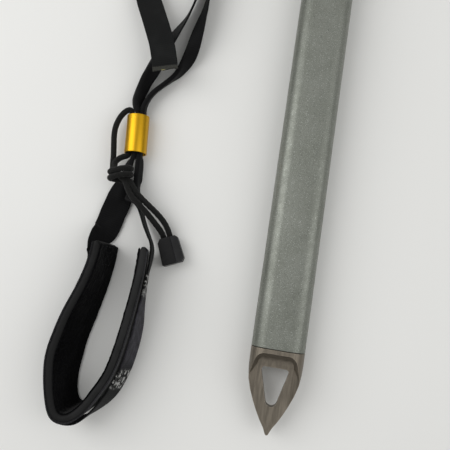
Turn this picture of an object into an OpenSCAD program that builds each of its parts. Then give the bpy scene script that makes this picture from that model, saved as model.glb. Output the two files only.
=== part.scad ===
// Mountaineering ice axe, lying on its side on a flat surface, with a webbing leash beside it.
// The origin is the centre of the carabiner eye in the head. +Y runs along the shaft towards
// the head's top, +X towards the adze, and +Z up from the surface. The axe rests on an adze
// corner, the pick's tip and the shaft's lower end, so it is rolled and pitched a little.
// The leash lies flat, and its points are given from the surface below the shaft's lower end.

/* [Shaft] */
// shaft size across its broad face
shaft_width = 30; // [28:0.5:32]
// shaft size through its narrow side
shaft_depth = 20; // [19:0.5:21]
// wall of the tube
shaft_wall = 1.4; // [1:0.1:2]
// outer corner radius of the tube
shaft_corner = 8; // [6:0.5:9]
// distance from the eye down to the shaft's lower end
shaft_low = 537.5; // [380:0.5:720]
// distance from the eye down to the shaft's upper end
shaft_high = 18; // [17:0.5:20]

/* [Head] */
// thickness of the head's steel plate
plate_thick = 4.5; // [4:0.1:5]
// radius of the round carabiner eye
eye_r = 9; // [8:0.5:9.5]
// distance from the eye to the pick's tip
pick_reach = 166; // [155:1:175]
// spacing of the pick's teeth
tooth_pitch = 7; // [6:0.5:8]
// depth of the pick's teeth
tooth_depth = 2.6; // [1:0.1:3]
// width of the adze at its cutting edge
adze_width = 54; // [46:1:60]
// thickness of the adze blade
adze_thick = 3.2; // [2.5:0.1:4]
// radius of the head's rivets
rivet_r = 3; // [2.5:0.1:3.5]

/* [Spike] */
// length of the spike below the shaft
spike_length = 47.5; // [44:0.5:50]
// thickness of the blade between the scooped faces
blade_thick = 5.6; // [4:0.1:7]
// length of the spike's tang inside the shaft
tang_length = 42; // [30:1:50]
// radius of the cross pin through the tang
pin_r = 2.5; // [2:0.1:3]

/* [Slider] */
// outer diameter of the gold tube
slider_od = 13.2; // [13:0.1:13.6]
// bore of the gold tube
slider_bore = 11.6; // [11.5:0.1:12]
// length of the gold tube
slider_length = 23; // [21:0.5:24]

/* [Webbing and cord] */
// width of the webbing
strap_width = 15; // [14:0.5:15.5]
// thickness of the webbing
strap_thick = 1.1; // [0.9:0.05:1.2]
// diameter of the pull cord
cord_d = 3.4; // [3:0.1:3.5]

/* [Wrist pad] */
// thickness of the pile lining
lining_thick = 0.7; // [0.5:0.1:1]
// thickness of the foam core
foam_thick = 4.2; // [3.5:0.1:4.5]
// thickness of the outer fabric
shell_thick = 0.6; // [0.4:0.1:0.8]

/* [Resting position] */
// roll about the shaft, adze side up, in degrees
lie_roll = 5.74; // [0:0.01:8]
// pitch of the shaft, head end up, in degrees
lie_pitch = 0.76; // [0:0.01:2]
// height of the eye's centre above the surface
drop = 17.79; // [10:0.01:20]

/* [Hidden] */
$fn = 48;
half_w = shaft_width / 2;
half_d = shaft_depth / 2;
inner_w = shaft_width - 2 * shaft_wall;
inner_d = shaft_depth - 2 * shaft_wall;
pt = plate_thick / 2;
slider_turn = 4.9;
slider_at = [-99.6, 110.35, 6.6];
swing_at = [-28, 501.5, 14.7];
wrist_at = [-96.8, 88, 6.3];
knot_at = [-98.4, 81.2, 14.6];
buckle_at = [-90, 297, 3.3];
buckle_turn = -17;
skin = 0.02;
joint_gap = 0.35;
pad_in = -(lining_thick + foam_thick + shell_thick) / 2;

// ---------- curves and sweeps ----------

// one component-wise smooth step between the points at i and i + 1
function at(p, i) = p[max(0, min(len(p) - 1, i))];
function between(p, i, t) =
  let (a = at(p, i - 1), b = at(p, i), c = at(p, i + 1), d = at(p, i + 2))
  0.5 * ((2 * b) + (c - a) * t + (2 * a - 5 * b + 4 * c - d) * t * t + (3 * b - a - 3 * c + d) * t * t * t);
function along(p, s) = between(p, min(len(p) - 2, floor(s)), s - min(len(p) - 2, floor(s)));
function smooth(p, n) = [for (k = [0 : n * (len(p) - 1)]) along(p, k / n)];
function unit(v) = v / norm(v);
function place(q) = [q[0], q[1], q[2]];
function heading(p, i) = unit(place(at(p, i + 1)) - place(at(p, i - 1)));

// joins a list of rings of points into one closed solid; from column back on, the squares are
// cut along their other diagonal, so that two layers with a shared face fit exactly
module skinned(rings, back = 1000) {
  m = len(rings[0]);
  n = len(rings);
  sides = [
    for (i = [0 : n - 2]) for (j = [0 : m - 1])
      let (a = i * m + j, b = i * m + (j + 1) % m)
      each (j < back ? [[a, a + m, b + m], [a, b + m, b]] : [[a, a + m, b], [b, a + m, b + m]])
  ];
  first = [for (j = [0 : m - 1]) j];
  last = [for (j = [m - 1 : -1 : 0]) (n - 1) * m + j];
  polyhedron([for (r = rings) each r], concat(sides, [first], [last]), convexity = 8);
}

// cross-section of webbing folded lengthwise by f: 0 is flat, 1 is doubled downwards and -1 upwards
function strap_section(w, t, f) =
  let (
    g = 0.75 * t,
    a = w / 2 - g,
    h = t / 2,
    c = cos(90 * f),
    s = sin(90 * f),
    p = [[-g - a * c, -a * s], [-g, 0], [g, 0], [g + a * c, -a * s]],
    o = [[-s, c], [-s, 1 + c] / (1 + c), [s, 1 + c] / (1 + c), [s, c]]
  )
  concat([for (k = [0 : 3]) p[k] - h * o[k]], [for (k = [3 : -1 : 0]) p[k] + h * o[k]]);

// webbing along points of [x, y, height, roll, fold]
module strap(points, n = 4, w = strap_width, t = strap_thick) {
  p = smooth(points, n);
  skinned([
    for (i = [0 : len(p) - 1])
      let (
        d = heading(p, i),
        e = unit(cross([0, 0, 1], d)),
        f = cross(d, e),
        u = cos(p[i][3]) * e + sin(p[i][3]) * f,
        v = -sin(p[i][3]) * e + cos(p[i][3]) * f
      )
      [for (q = strap_section(w, t, max(-1, min(1, p[i][4])))) place(p[i]) + q[0] * u + q[1] * v]
  ]);
}

// round cord along points of [x, y, height]; away is a direction the cord never runs in
module cord(points, n = 4, d = cord_d, away = [0, 0, 1], sides = 10) {
  p = smooth(points, n);
  skinned([
    for (i = [0 : len(p) - 1])
      let (
        t = heading(p, i),
        e = unit(cross(away, t)),
        f = cross(t, e)
      )
      [for (k = [0 : sides - 1]) p[i] + d / 2 * (cos(k * 360 / sides) * e + sin(k * 360 / sides) * f)]
  ]);
}

// ---------- frames ----------

module lie() {
  rotate([lie_pitch, -lie_roll, 0]) children();
}

module beside() {
  translate([0, -shaft_low, -drop]) children();
}

module on_slider() {
  translate(slider_at) rotate([0, 0, slider_turn]) children();
}

module on_buckle() {
  translate(buckle_at) rotate([0, 0, buckle_turn]) children();
}

// rounded rectangle from true arcs
module rounded(w, d, r) {
  square([w - 2 * r, d], center = true);
  square([w, d - 2 * r], center = true);
  for (x = [-1, 1]) for (y = [-1, 1]) translate([x * (w / 2 - r), y * (d / 2 - r)]) circle(r);
}

// a length of the shaft's section, from y = low up to y = high
module run(low, high, w, d, r) {
  translate([0, high, 0]) rotate([90, 0, 0]) linear_extrude(high - low) rounded(w, d, r);
}

// ---------- axe ----------

module shaft_tube() {
  color([0.46, 0.47, 0.44]) lie() difference() {
    run(-shaft_low, -shaft_high, shaft_width, shaft_depth, shaft_corner);
    run(-shaft_low - 1, -shaft_high + 1, inner_w, inner_d, shaft_corner - shaft_wall);
    for (y = [-30, -50]) translate([0, y, 0]) cylinder(h = 40, r = rivet_r, center = true);
    translate([0, -shaft_low + 20, 0]) rotate([0, 90, 0]) cylinder(h = 60, r = pin_r, center = true);
  }
}

// the pick's upper and lower outlines, both drooping arcs
function pick_top(x) = 13 - 300 + sqrt(300 * 300 - (x + 15) * (x + 15));
function pick_low(x) = -13 - 420 + sqrt(420 * 420 - (x + 15) * (x + 15));
function tooth(k) = -pick_reach + 6.5 + k * tooth_pitch;

module plate_outline() {
  teeth = 15;
  top = [for (x = [-18 : -8 : -pick_reach + 12]) [x, pick_top(x)]];
  tip = [[-pick_reach + 0.3, pick_low(-pick_reach)], [-pick_reach, pick_low(-pick_reach) - 0.8]];
  low = [
    for (k = [0 : teeth - 1])
      let (x = tooth(k), s = k == 0 ? 0.45 : 1 - 0.045 * k)
      each [
        [x, pick_low(x) + tooth_depth * s],
        [x + tooth_pitch * 0.72, pick_low(x + tooth_pitch * 0.72)],
        [x + tooth_pitch * 0.8, pick_low(x + tooth_pitch * 0.8)]
      ]
  ];
  polygon(concat(
    [[15, 13.5], [6, 15.5], [-6, 15.5]],
    top, tip, low,
    [[-50, pick_low(-50)], [-36, pick_low(-36)], [-21, -13.5], [-15.5, -14.4], [15.5, -14.4],
      [20, -12], [41, -8.5], [44, -4], [44, 2], [40, 7], [24, 10.5]]
  ));
}

module head_plate() {
  color([0.36, 0.36, 0.37]) lie() intersection() {
    difference() {
      union() {
        linear_extrude(plate_thick, center = true) plate_outline();
        translate([0, -40, 0]) cube([20, 52, plate_thick], center = true);
      }
      cylinder(h = 20, r = eye_r, center = true);
      leash_slot();
      for (y = [-30, -50]) translate([0, y, 0]) cylinder(h = 40, r = rivet_r, center = true);
      for (x = [27, 37]) translate([x, -1, 0]) cylinder(h = 40, r = 2.5, center = true);
      for (x = [-48, -62, -76]) translate([x, pick_top(x) - 12.5 - (48 + x) * 0.02, 0])
        cylinder(h = 20, r = 3.6, center = true);
    }
    translate([0, 50, 0]) rotate([90, 0, 0]) linear_extrude(140) polygon([
      [-pick_reach - 1, -0.5], [-pick_reach + 18, -pt], [60, -pt], [60, pt], [-pick_reach + 18, pt],
      [-pick_reach - 1, 0.5]
    ]);
  }
}

// slot for the leash near the plate's lower edge
module leash_slot() {
  translate([-27, -4.4, 0]) cube([13, 5, 20], center = true);
  for (x = [-33.5, -20.5]) translate([x, -4.4, 0]) cylinder(h = 20, r = 2.5, center = true);
}

module head_plug() {
  color([0.08, 0.08, 0.08]) lie() difference() {
    union() {
      run(-64, -shaft_high, inner_w - 0.1, inner_d - 0.1, shaft_corner - shaft_wall);
      run(-shaft_high, -14.4, shaft_width, shaft_depth, shaft_corner);
    }
    translate([0, -40, 0]) cube([20.1, 52.1, plate_thick + 0.1], center = true);
    for (y = [-30, -50]) translate([0, y, 0]) cylinder(h = 40, r = rivet_r, center = true);
  }
}

// straight rivet along Z with two low heads
module rivet(r, head_r, reach, head) {
  cylinder(h = 2 * reach, r = r - 0.01, center = true);
  for (m = [0, 1]) mirror([0, 0, m]) translate([0, 0, reach]) {
    cylinder(h = head * 0.4, r = head_r);
    translate([0, 0, head * 0.4]) cylinder(h = head * 0.6, r1 = head_r, r2 = head_r * 0.6);
  }
}

module head_rivets() {
  color([0.62, 0.62, 0.63]) lie() for (y = [-30, -50]) translate([0, y, 0])
    rivet(rivet_r, rivet_r + 1.8, half_d + skin, 1.1);
}

module adze_blade() {
  intersection() {
    translate([38, -72, 0]) difference() {
      cylinder(h = adze_width, r = 76 + adze_thick, center = true, $fn = 96);
      cylinder(h = adze_width + 2, r = 76, center = true, $fn = 96);
      translate([-100, -100, -50]) cube([95, 200, 100]);
      rotate([0, 0, 45]) translate([-100, -200, -50]) cube([200, 200, 100]);
    }
    translate([0, 40, 0]) rotate([90, 0, 0]) linear_extrude(100) polygon([
      [30, -15], [46, -17], [70, -21], [100, -adze_width / 2 - 2.4],
      [100, adze_width / 2 + 2.4], [70, 21], [46, 17], [30, 15]
    ]);
  }
}

module adze() {
  color([0.36, 0.36, 0.37]) lie() difference() {
    union() {
      adze_blade();
      for (m = [0, 1]) mirror([0, 0, m]) translate([0, 0, pt + skin]) linear_extrude(2.6)
        polygon([[21, -6.5], [25, -9], [41, -7.5], [48, -2], [48, 4.2], [33, 4.9], [21, 6]]);
    }
    translate([0, 0, 0]) cube([88.1, 40, plate_thick + 2 * skin], center = true);
    for (x = [27, 37]) translate([x, -1, 0]) cylinder(h = 40, r = 2.5, center = true);
  }
  color([0.36, 0.36, 0.37]) lie() intersection() {
    adze_blade();
    translate([44.1, -20, -pt - skin]) cube([60, 40, plate_thick + 2 * skin]);
  }
}

module adze_rivets() {
  color([0.62, 0.62, 0.63]) lie() for (x = [27, 37]) translate([x, -1, 0])
    rivet(2.5, 4.2, pt + 2.6 + 2 * skin, 1.1);
}

// half width of the spike's outline at a distance below the shaft
module spike_outline() {
  l = spike_length;
  w = half_w;
  polygon([
    [-w, 1], [w, 1], [w, -6], [w - 0.3, -11.5], [w - 1.3, -18], [w - 3, -24], [w - 5.1, -29.5],
    [w - 7.5, -34.5], [w - 10, -39], [w - 12.6, -43.2], [w - 14.2, -l + 0.5], [0, -l],
    [14.2 - w, -l + 0.5], [12.6 - w, -43.2], [10 - w, -39], [7.5 - w, -34.5], [5.1 - w, -29.5],
    [3 - w, -24], [1.3 - w, -18], [0.3 - w, -11.5], [-w, -6]
  ]);
}

// scooped recess on one broad face: a flat floor, sloping sides and a concave wall towards the shaft
module scoop() {
  b = blade_thick / 2;
  intersection() {
    union() {
      translate([-20, -60, b]) cube([40, 49.5, 20]);
      translate([0, -10.5, b + 8]) rotate([0, 90, 0]) cylinder(h = 40, r = 8, center = true);
      translate([-20, -18.5, b + 8]) cube([40, 16, 8]);
    }
    hull() {
      translate([0, 0, b]) linear_extrude(0.01) scoop_outline(9.8, 3, -9, 0);
      translate([0, 0, half_d]) linear_extrude(0.01) scoop_outline(12.8, 6.5, -9, 6);
    }
  }
}

// plan of the scoop: round upper corners, with sides that may flare out lower down
module scoop_outline(w, r, y, flare) {
  hull() {
    for (x = [-1, 1]) translate([x * (w - r), y]) circle(r);
    translate([-w - flare, -60]) square([2 * (w + flare), 60 + y - 15]);
  }
}

module spike_hole() {
  linear_extrude(30, center = true) {
    polygon([
      [-7.6, -12.2], [-5.8, -10.4], [5.8, -10.4], [7.6, -12.2],
      [7.45, -13.2], [3.1, -29.2], [-3.1, -29.2], [-7.45, -13.2]
    ]);
    for (x = [-5.6, 5.6]) translate([x, -12.4]) circle(2);
    translate([0, -28.4]) circle(3.2);
  }
}

module spike() {
  color([0.4, 0.37, 0.33]) lie() translate([0, -shaft_low, 0]) {
    difference() {
      intersection() {
        linear_extrude(shaft_depth, center = true) spike_outline();
        run(-60, -joint_gap, shaft_width, shaft_depth, shaft_corner);
        rotate([90, 0, 90]) linear_extrude(40, center = true) polygon([
          [1, -half_d], [1, half_d], [-8, half_d], [-16, 8.6], [-24, 6.3], [-32, 4.2], [-40, 2.7], [-47.5, 0.6],
          [-47.5, -0.6], [-40, -2.7], [-32, -4.2], [-24, -6.3], [-16, -8.6], [-8, -half_d]
        ]);
      }
      scoop();
      mirror([0, 0, 1]) scoop();
      spike_hole();
    }
    difference() {
      run(0, tang_length, inner_w - 0.1, inner_d - 0.1, shaft_corner - shaft_wall);
      translate([0, 20, 0]) rotate([0, 90, 0]) cylinder(h = 60, r = pin_r, center = true);
      translate([0, tang_length, 0]) cube([14, 26, 30], center = true);
    }
  }
}

module spike_pin() {
  color([0.6, 0.6, 0.6]) lie() translate([0, -shaft_low + 20, 0]) rotate([0, 90, 0])
    cylinder(h = shaft_width - 0.1, r = pin_r - 0.01, center = true);
}

// ---------- leash: hitch and upper webbing ----------

// webbing round the web below the leash slot, its two strands closing up to the swing point
module hitch_loop() {
  t = strap_thick;
  color([0.05, 0.05, 0.05]) intersection() {
    lie() translate([-32.5, 0, 0]) rotate([90, 0, 90]) linear_extrude(11) {
      difference() {
        translate([-9.7, 0]) circle(3.6 + t);
        translate([-9.7, 0]) circle(3.6);
        translate([-39.7, -15]) square([30, 30]);
      }
      for (m = [0, 1]) mirror([0, m])
        polygon([
          [-9.7, 3.6], [-9.7, 3.6 + t], [-19.5, 3.6 + t], [-27, 0.3 + t],
          [-46, 0.3 + t], [-46, 0.3], [-27, 0.3], [-19.5, 3.6]
        ]);
    }
    beside() translate([swing_at[0], swing_at[1], -20]) {
      cylinder(h = 80, r = 7.8, $fn = 64);
      translate([-20, 0, 0]) cube([40, 50, 80]);
    }
  }
}

// crosswise wrap that gathers the two strands just below the head plate
module hitch_band() {
  t = strap_thick;
  color([0.05, 0.05, 0.05]) lie() translate([-27, -17, 0]) rotate([90, 0, 0])
    linear_extrude(5, center = true) difference() {
      rounded(12.4 + 2 * t, 10.4 + 2 * t, 1.2 + t);
      rounded(12.4, 10.4, 1.2);
    }
}

upper_path = [
  [-28, 492.4, 13.8, 0, 0], [-33, 475, 9.4, 0, 0], [-44, 438, 3.6, 0, 0], [-58, 395, 1.4, 0, 0],
  [-72, 350, 1.2, 0, 0], [-83.4, 318.5, 0.8, 0, 0], [-87.8, 304.2, 0.8, 0, 0]
];

module strap_left_upper() {
  color([0.05, 0.05, 0.05]) beside() {
    strap(upper_path);
    on_buckle() translate([0, 7.5, 0]) rotate([0, 90, 0]) difference() {
      cylinder(h = strap_width, r = 3.05, center = true);
      cylinder(h = 20, r = 1.95, center = true);
      translate([-10, 0, -20]) cube([20, 20, 40]);
    }
    on_buckle() translate([-strap_width / 2, 7.5, 1.95]) cube([strap_width, 16, strap_thick]);
  }
}

// three-bar slide
module buckle() {
  color([0.07, 0.07, 0.07]) beside() on_buckle() difference() {
    linear_extrude(2.4, center = true) rounded(22, 17.6, 3);
    for (y = [-3.75, 3.75]) translate([0, y, 0]) linear_extrude(5, center = true) rounded(16.4, 4.9, 1);
  }
}

lower_path = [
  [-90, 297, 0.8, 0, 0], [-92.9, 287.4, 0.8, 0, 0], [-93.5, 274, 2.2, 12, 0], [-90, 258, 5.2, 40, 0],
  [-83, 238, 7.9, 75, 0], [-77.9, 222, 8.3, 79, 0], [-76.6, 211, 8.3, 79, 0], [-78.2, 199.7, 8.3, 77, 0],
  [-80.4, 191, 8.2, 72, 0], [-83, 184.5, 8.2, 64, 0], [-87.2, 176, 7.9, 55, 0], [-92.3, 167, 7.9, 45, 0.1],
  [-97.3, 157.5, 7.9, 33, 0.34], [-101.2, 148, 8.2, 18, 0.62], [-102.7, 140, 8.7, 6, 0.72],
  [-103.3, 133.5, 9.2, 0, 0.77], [-103.1, 128.4, 9.5, 0, 0.88], [-101.17, 123.95, 9.65, 0, 1]
];

module strap_left_lower() {
  color([0.05, 0.05, 0.05]) beside() {
    strap(lower_path);
    on_buckle() rotate([0, 90, 0]) difference() {
      cylinder(h = strap_width, r = 3.05, center = true);
      cylinder(h = 20, r = 1.95, center = true);
      translate([-10, -20, -20]) cube([20, 20, 40]);
    }
    on_buckle() translate([-strap_width / 2, -7.2, 1.95]) cube([strap_width, 7.4, strap_thick]);
  }
}

right_path = [
  [-28, 492.4, 15.6, 0, 0], [-30.2, 476, 14, 0, 0], [-36, 446, 11.2, 22, 0], [-40.2, 422, 10.8, 44, 0],
  [-46, 395, 9.5, 74, 0], [-52.5, 360, 8.4, 88, 0], [-59, 320, 8.3, 90, 0], [-67, 255, 8.3, 87, 0],
  [-70.6, 220, 8.3, 84, 0.05], [-71.6, 200.6, 8.3, 80, 0.11], [-73, 192, 8.3, 73, 0.19],
  [-74.7, 185.8, 8.3, 65, 0.28], [-76.9, 176.3, 8.3, 52, 0.42], [-78.5, 167, 8.3, 38, 0.58],
  [-80.1, 159, 8.3, 18, 0.8], [-82.2, 152.2, 8.3, 0, 0.95], [-85.2, 147.4, 8.3, -12, 1],
  [-89.3, 142.8, 8.3, -16, 1], [-93.5, 138, 8.6, -15, 1], [-96.5, 133, 9.1, -9, 1],
  [-98.1, 128.3, 9.6, -2, 1], [-98.28, 124.15, 9.65, 0, 1]
];

module strap_right() {
  color([0.05, 0.05, 0.05]) beside() {
    strap(right_path);
  }
}

// the two strands folded side by side, straight through the slider, and leaning apart below it
module strap_bundle() {
  color([0.05, 0.05, 0.05]) beside() on_slider() {
    strap([
      [-0.4, 13.5, 3.05, 0, 1], [-0.4, 0, 3.05, 0, 1], [-0.4, -12, 3.05, 0, 1], [-0.5, -13.6, 3.05, -7, 1],
      [-0.85, -16, 3, -23, 1], [-1.35, -20, 2.9, -36, 1], [-2.1, -25.2, 2.75, -38, 1]
    ], 3);
    strap([
      [2.5, 13.5, 3.05, 0, 1], [2.5, 0, 3.05, 0, 1], [2.5, -12, 3.05, 0, 1], [2.4, -13.6, 3.05, 6, 1],
      [2.2, -16, 3.05, 11, 1], [2, -20, 3.05, 15, 1], [1.8, -25.2, 2.95, 16, 1]
    ], 3);
  }
}

tail_path = [
  [-92.2, 289.8, 5.8, 0, 0], [-94.5, 281.5, 6, 0, 0], [-100, 266, 6.5, 0, 0], [-107, 245, 6, 0, 0],
  [-111.4, 222, 6.2, 0, 0], [-110, 205, 8.2, 0, 0], [-106.2, 194, 10.2, 0, 0], [-101.5, 184.2, 12.6, 0, 0],
  [-97, 174.8, 14.6, 0, 0], [-92.9, 165.8, 16, 0, 0], [-89.9, 157.1, 16.8, 0, 0], [-87.6, 148.9, 17, 0, 0]
];

module strap_tail() {
  color([0.1, 0.1, 0.1]) beside() strap(tail_path);
}

// ---------- slider and pull cord ----------

module slider_tube() {
  color([0.85, 0.6, 0.1]) beside() on_slider() rotate([90, 0, 0]) difference() {
    cylinder(h = slider_length, r = slider_od / 2, center = true, $fn = 96);
    cylinder(h = slider_length + 2, r = slider_bore / 2, center = true, $fn = 96);
  }
}

loop_path = [
  [-109.6, 87.4, 9.6], [-110.3, 91, 8.6], [-110.8, 95, 8.1], [-111.7, 101, 8], [-112.6, 107, 8], [-112.8, 112, 8],
  [-112, 116.6, 8], [-110.5, 120.4, 8], [-108.3, 123.4, 8], [-106, 124.7, 7.7], [-104.75, 123.4, 7.35],
  [-104.52, 121.4, 7.3], [-103.54, 110, 7.3], [-102.6, 98.9, 7.3], [-103.1, 96.8, 8], [-104.8, 95.5, 9.3],
  [-106.8, 93.8, 10.3], [-108.2, 91.2, 11.7], [-107.9, 88.2, 13.2]
];

module pull_cord_loop() {
  color([0.06, 0.06, 0.06]) beside() cord(loop_path, 3);
}

// two turns of the cord wrapped round its own strands
module cord_knot() {
  turns = 1.9;
  color([0.06, 0.06, 0.06]) beside() difference() {
    translate([-103.1, 84.1, 15.4]) rotate([0, -8, 8]) cord([
      for (a = [-40 : 30 : -40 + 360 * turns])
        [6.1 * cos(a), -3.6 * (a - 300) / 360, 3.6 * sin(a)]
    ], 2, cord_d, [0, 1, 0]);
    translate(knot_at) sphere(r = 3.8);
  }
}

outer_tail = [
  [-97.4, 81.4, 14.6], [-94.4, 77.2, 14.9], [-90, 72.8, 14.9], [-86, 69.8, 14.6], [-82.2, 67.1, 13.6],
  [-78.8, 64.6, 12.2], [-76, 62.2, 10.4], [-73.6, 59.5, 8.4], [-71.2, 55.6, 6.4], [-69.9, 52.1, 5.1],
  [-69.1, 49.6, 4.7]
];
inner_tail = [
  [-99.8, 80.5, 15], [-97, 75.5, 16.6], [-93.7, 71.4, 17.5], [-89.9, 68.4, 17.5], [-84.5, 64, 15.8],
  [-81.7, 61.4, 13.6], [-79, 58.8, 11.2], [-76.8, 56.6, 8.8], [-74.8, 54.1, 6.5], [-73.4, 51.5, 5.1],
  [-72.5, 49.4, 4.7]
];

module cord_tails() {
  color([0.06, 0.06, 0.06]) beside() {
    cord(outer_tail, 3);
    cord(inner_tail, 3);
    translate(knot_at) sphere(r = 3.2);
  }
}

module on_cord_end() {
  translate([-68.5, 45.3, 4.6]) rotate([0, 0, 24]) children();
}

module cord_end_block() {
  linear_extrude(8.4, center = true)
    polygon([[-4.2, 7.9], [4.6, 7.9], [6, 6.6], [6.6, -6], [5, -7.9], [-5.9, -7.9], [-6.5, -7.2], [-6, 5.6]]);
}

module cord_end_body() {
  color([0.03, 0.03, 0.035]) beside() difference() {
    intersection() {
      on_cord_end() cord_end_block();
      on_cord_end() translate([-6.4, 0, 0]) cube([16, 20, 10], center = true);
      on_cord_end() rotate([90, 0, 0]) linear_extrude(20, center = true) rounded(16.5, 8.4, 1.8);
    }
    cord(outer_tail, 3, cord_d + 0.1);
    cord(inner_tail, 3, cord_d + 0.1);
  }
}

module cord_end_lid() {
  color([0.07, 0.07, 0.075]) beside() difference() {
    intersection() {
      on_cord_end() cord_end_block();
      on_cord_end() translate([9.7, 0, 0]) cube([16, 20, 7.6], center = true);
      on_cord_end() rotate([90, 0, 0]) linear_extrude(20, center = true) rounded(16.5, 8.4, 1.8);
    }
    cord(outer_tail, 3, cord_d + 0.1);
  }
}

// ---------- wrist loop ----------

// middle of the pad's lower and upper edges, from the left end round the point to the right end
pad_low = [
  [-102.4, 44, 0.9], [-102.9, 31, 0.9], [-104.8, 17, 0.9], [-107.6, 2, 0.9], [-110.2, -10, 0.9], [-111.8, -23, 0.9],
  [-112.2, -33.5, 0.9], [-111, -42.5, 0.9], [-107.8, -48.2, 0.9], [-102.8, -49, 0.9], [-97.2, -44.4, 0.9],
  [-91.4, -36, 0.9], [-87.6, -26, 0.9], [-85.2, -14, 0.9], [-84.2, 0, 0.9], [-83.6, 15, 0.9], [-83.6, 30, 0.9],
  [-84.6, 44.5, 0.9]
];
pad_high = [
  [-107.4, 44, 24.6], [-108.6, 31, 23.8], [-112.4, 17, 23], [-117.6, 2, 22.6], [-120.4, -10, 22.6],
  [-122, -21, 22.6], [-121, -32, 22.6], [-118, -44, 22.6], [-114, -51.8, 22.8], [-107.8, -53, 23.2],
  [-100.6, -47.6, 23.8], [-93.9, -37, 24.2], [-88.8, -26, 24.6], [-86, -14, 24.8], [-83.9, 0, 25],
  [-82.2, 15, 25], [-81.1, 30, 25], [-81.2, 44.5, 25]
];

// part of the pad between stations a and b, heights v0 and v1 and depths t0 and t1
module pad(t0, t1, a = 0, b = 17, v0 = 0, v1 = 1, n = 3) {
  steps = max(1, round((b - a) * n));
  skinned([
    for (k = [0 : steps])
      let (
        s = a + (b - a) * k / steps,
        lo = along(pad_low, s),
        hi = along(pad_high, s),
        d = (along(pad_low, min(17, s + 0.1)) - along(pad_low, max(0, s - 0.1)))
          + (along(pad_high, min(17, s + 0.1)) - along(pad_high, max(0, s - 0.1))),
        o = unit([d[1], -d[0], 0])
      )
      [
        lo + v0 * (hi - lo) + t0 * o, lo + v1 * (hi - lo) + t0 * o,
        lo + v1 * (hi - lo) + t1 * o, lo + v0 * (hi - lo) + t1 * o
      ]
  ], 2);
}

module wrist_lining() {
  color([0.02, 0.02, 0.02]) beside() pad(pad_in, pad_in + lining_thick - skin);
}

module wrist_foam() {
  color([0.16, 0.16, 0.16]) beside() pad(pad_in + lining_thick, pad_in + lining_thick + foam_thick);
}

module wrist_shell() {
  color([0.2, 0.2, 0.2]) beside()
    pad(pad_in + lining_thick + foam_thick + skin, -pad_in);
}

// how far the webbing's lower edge leans out from the pad
function lean(s) = max(0, min(13, 8 * (s - 9.5), 9 * (15.3 - s)));

// webbing from the fold below the slider, round the outside of the pad and back
function pad_path(s, out) =
  let (
    lo = along(pad_low, s),
    hi = along(pad_high, s),
    d = along(pad_low, min(17, s + 0.1)) - along(pad_low, max(0, s - 0.1))
      + along(pad_high, min(17, s + 0.1)) - along(pad_high, max(0, s - 0.1)),
    o = unit([d[1], -d[0], 0]),
    c = lo + 0.53 * (hi - lo) + (out + strap_width / 2 * sin(lean(s))) * o,
    w = lo - hi
  )
  [c[0], c[1], c[2], atan2(w[2], -w * o) - lean(s), 0];

module wrist_webbing() {
  out = -pad_in + 0.85 + strap_thick / 2;
  color([0.05, 0.05, 0.05]) beside() strap(concat(
    [
      [-99.56, 84.94, 9.35, -38, 1], [-99.64, 83.3, 9.25, -35, 0.97], [-100.15, 81.5, 8.6, -27, 0.8],
      [-101, 79.3, 7.7, -19, 0.6], [-102.3, 76.3, 6, -12, 0.38], [-103.8, 72, 3.8, -9, 0.15],
      [-105, 67.5, 2.5, -8, 0], [-106.4, 62.5, 2.2, -8, 0], [-107.6, 56, 2.5, -11, 0],
      [-108.8, 51, 4, -26, 0], [-110.8, 46.8, 6.6, -50, 0], [-111.6, 42.6, 8.8, -67, 0], [-110.9, 37, 10.9, -73, 0]
    ],
    [for (s = [1 : 16]) pad_path(s, out)],
    [
      [-78, 38, 12.5, -87, 0], [-78.3, 43.5, 11.7, -88, 0], [-79.5, 47.5, 11, -88, 0], [-81.8, 51.5, 10.4, -89, 0],
      [-84.4, 56, 9.6, -90, 0], [-87, 61, 8.9, -90, 0], [-89.5, 66, 8.4, -93, 0], [-91.2, 70, 8.3, -104, -0.12],
      [-92.6, 73.8, 8.5, -132, -0.47], [-94, 77.5, 9, -165, -0.82], [-95.16, 81.3, 9.45, -190, -1],
      [-95.52, 85.28, 9.55, -196, -1]
    ]
  ), 3);
}

// square of sewing thread on the lining near each end of the pad
module wrist_stitching() {
  t = 0.3;
  i = pad_in - skin;
  color([0.12, 0.12, 0.12]) beside() for (e = [0, 1]) {
    a = e == 0 ? 0.25 : 16.05;
    b = e == 0 ? 0.95 : 16.75;
    for (v = [0.3, 0.72]) pad(i - t, i, a, b, v, v + 0.03, 6);
    for (s = [a, b - 0.06]) pad(i - t, i, s, s + 0.06, 0.33 + 0.001, 0.72 - 0.001, 1);
  }
}

shaft_tube();
head_plate();
head_plug();
head_rivets();
adze();
adze_rivets();
spike();
spike_pin();
hitch_loop();
hitch_band();
strap_left_upper();
buckle();
strap_left_lower();
strap_right();
strap_bundle();
strap_tail();
slider_tube();
pull_cord_loop();
cord_knot();
cord_tails();
cord_end_body();
cord_end_lid();
wrist_webbing();
wrist_shell();
wrist_foam();
wrist_lining();
wrist_stitching();
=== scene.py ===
"""A mountaineering ice axe lying on a pale table with its webbing leash beside it."""

import math

import bpy
import numpy as np
from mathutils import Matrix, Vector

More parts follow.
